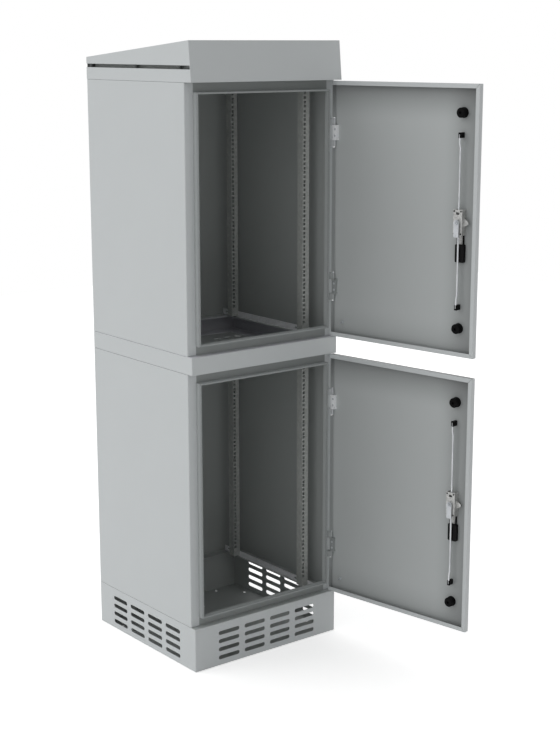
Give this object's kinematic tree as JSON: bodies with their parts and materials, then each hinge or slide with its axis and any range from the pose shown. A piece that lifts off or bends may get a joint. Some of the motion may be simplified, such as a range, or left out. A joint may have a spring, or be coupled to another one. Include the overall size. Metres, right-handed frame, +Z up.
{
  "type": "roadside utility cabinet",
  "caption": "Tall roadside utility cabinet: vented plinth, two rack compartments with side-hinged doors held by rod locks, a collar between them and a vented pent roof.",
  "frame": {"origin": "on the ground, under the middle of the compartments", "axes": "+Z up, +X to the right as seen from the front, +Y to the back"},
  "size_m": [0.7191, 1.1857, 2.0942],
  "materials": {
    "paint": "powder coated",
    "rail": "zinc plated sheet",
    "zinc": "zinc plated",
    "seal": "foam rubber",
    "rubber": "matt",
    "black_plastic": "matt"
  },
  "bodies": {
    "cabinet": {"plinth": "paint", "collar": "paint", "roof_ring": "paint", "roof_cap": "paint", "roof_spacers": "rubber", "lower_shell": "paint", "lower_frame": "paint", "lower_gasket": "seal", "lower_front_left_rail": "rail", "lower_front_right_rail": "rail", "lower_rear_left_rail": "rail", "lower_rear_right_rail": "rail", "lower_floor_bars": "rail", "lower_top_bars": "rail", "lower_hinge_brackets": "zinc", "lower_hinge_pins": "zinc", "upper_shell": "paint", "upper_frame": "paint", "upper_gasket": "seal", "upper_front_left_rail": "rail", "upper_front_right_rail": "rail", "upper_rear_left_rail": "rail", "upper_rear_right_rail": "rail", "upper_floor_bars": "rail", "upper_top_bars": "rail", "upper_hinge_brackets": "zinc", "upper_hinge_pins": "zinc"},
    "lower_door": {"lower_door_panel": "paint", "lower_hinge_blocks": "zinc", "lower_door_buffers": "rubber", "lower_rod_guides": "black_plastic", "lower_earth_stud": "zinc", "lower_lock_gearbox": "zinc", "lower_lock_cover": "zinc", "lower_cylinder_block": "black_plastic", "lower_handle_plate": "black_plastic"},
    "lower_spindle": {"lower_lock_spindle": "zinc", "lower_lock_tongue": "zinc", "lower_tongue_nut": "zinc", "lower_lever_pin": "zinc"},
    "lower_lever": {"lower_handle_lever": "black_plastic"},
    "lower_top_rod": {"lower_top_rod": "zinc"},
    "lower_bottom_rod": {"lower_bottom_rod": "zinc"},
    "upper_door": {"upper_door_panel": "paint", "upper_hinge_blocks": "zinc", "upper_door_buffers": "rubber", "upper_rod_guides": "black_plastic", "upper_earth_stud": "zinc", "upper_lock_gearbox": "zinc", "upper_lock_cover": "zinc", "upper_cylinder_block": "black_plastic", "upper_handle_plate": "black_plastic"},
    "upper_spindle": {"upper_lock_spindle": "zinc", "upper_lock_tongue": "zinc", "upper_tongue_nut": "zinc", "upper_lever_pin": "zinc"},
    "upper_lever": {"upper_handle_lever": "black_plastic"},
    "upper_top_rod": {"upper_top_rod": "zinc"},
    "upper_bottom_rod": {"upper_bottom_rod": "zinc"}
  },
  "joints": [
    {"name": "lower_door_hinge", "type": "hinge", "parent": "cabinet", "child": "lower_door", "pos_m": [0.297, -0.306, 0.59105], "axis": [0, 0, 1], "range_deg": [-99.6, 20]},
    {"name": "lower_handle_turn", "type": "hinge", "parent": "lower_door", "child": "lower_spindle", "pos_m": [0.39277, -0.82429, 0.59105], "axis": [-0.986, -0.1668, 0], "range_deg": [0, 90]},
    {"name": "lower_lever_lift", "type": "hinge", "parent": "lower_spindle", "child": "lower_lever", "pos_m": [0.40559, -0.82212, 0.59105], "axis": [0, 0, -1], "range_deg": [0, 60]},
    {"name": "lower_top_rod_slide", "type": "slide", "parent": "lower_door", "child": "lower_top_rod", "axis": [0, 0, 1], "range_m": [0, 0.0142]},
    {"name": "lower_bottom_rod_slide", "type": "slide", "parent": "lower_door", "child": "lower_bottom_rod", "axis": [0, 0, -1], "range_m": [0, 0.0142]},
    {"name": "upper_door_hinge", "type": "hinge", "parent": "cabinet", "child": "upper_door", "pos_m": [0.297, -0.306, 1.52715], "axis": [0, 0, 1], "range_deg": [-99.6, 20]},
    {"name": "upper_handle_turn", "type": "hinge", "parent": "upper_door", "child": "upper_spindle", "pos_m": [0.39277, -0.82429, 1.52715], "axis": [-0.986, -0.1668, 0], "range_deg": [0, 90]},
    {"name": "upper_lever_lift", "type": "hinge", "parent": "upper_spindle", "child": "upper_lever", "pos_m": [0.40559, -0.82212, 1.52715], "axis": [0, 0, -1], "range_deg": [0, 60]},
    {"name": "upper_top_rod_slide", "type": "slide", "parent": "upper_door", "child": "upper_top_rod", "axis": [0, 0, 1], "range_m": [0, 0.0142]},
    {"name": "upper_bottom_rod_slide", "type": "slide", "parent": "upper_door", "child": "upper_bottom_rod", "axis": [0, 0, -1], "range_m": [0, 0.0142]}
  ],
  "couplings": [
    {"joint": "lower_top_rod_slide", "follows": "lower_handle_turn", "m_per_rad": 0.009},
    {"joint": "lower_bottom_rod_slide", "follows": "lower_handle_turn", "m_per_rad": 0.009},
    {"joint": "upper_top_rod_slide", "follows": "upper_handle_turn", "m_per_rad": 0.009},
    {"joint": "upper_bottom_rod_slide", "follows": "upper_handle_turn", "m_per_rad": 0.009}
  ]
}
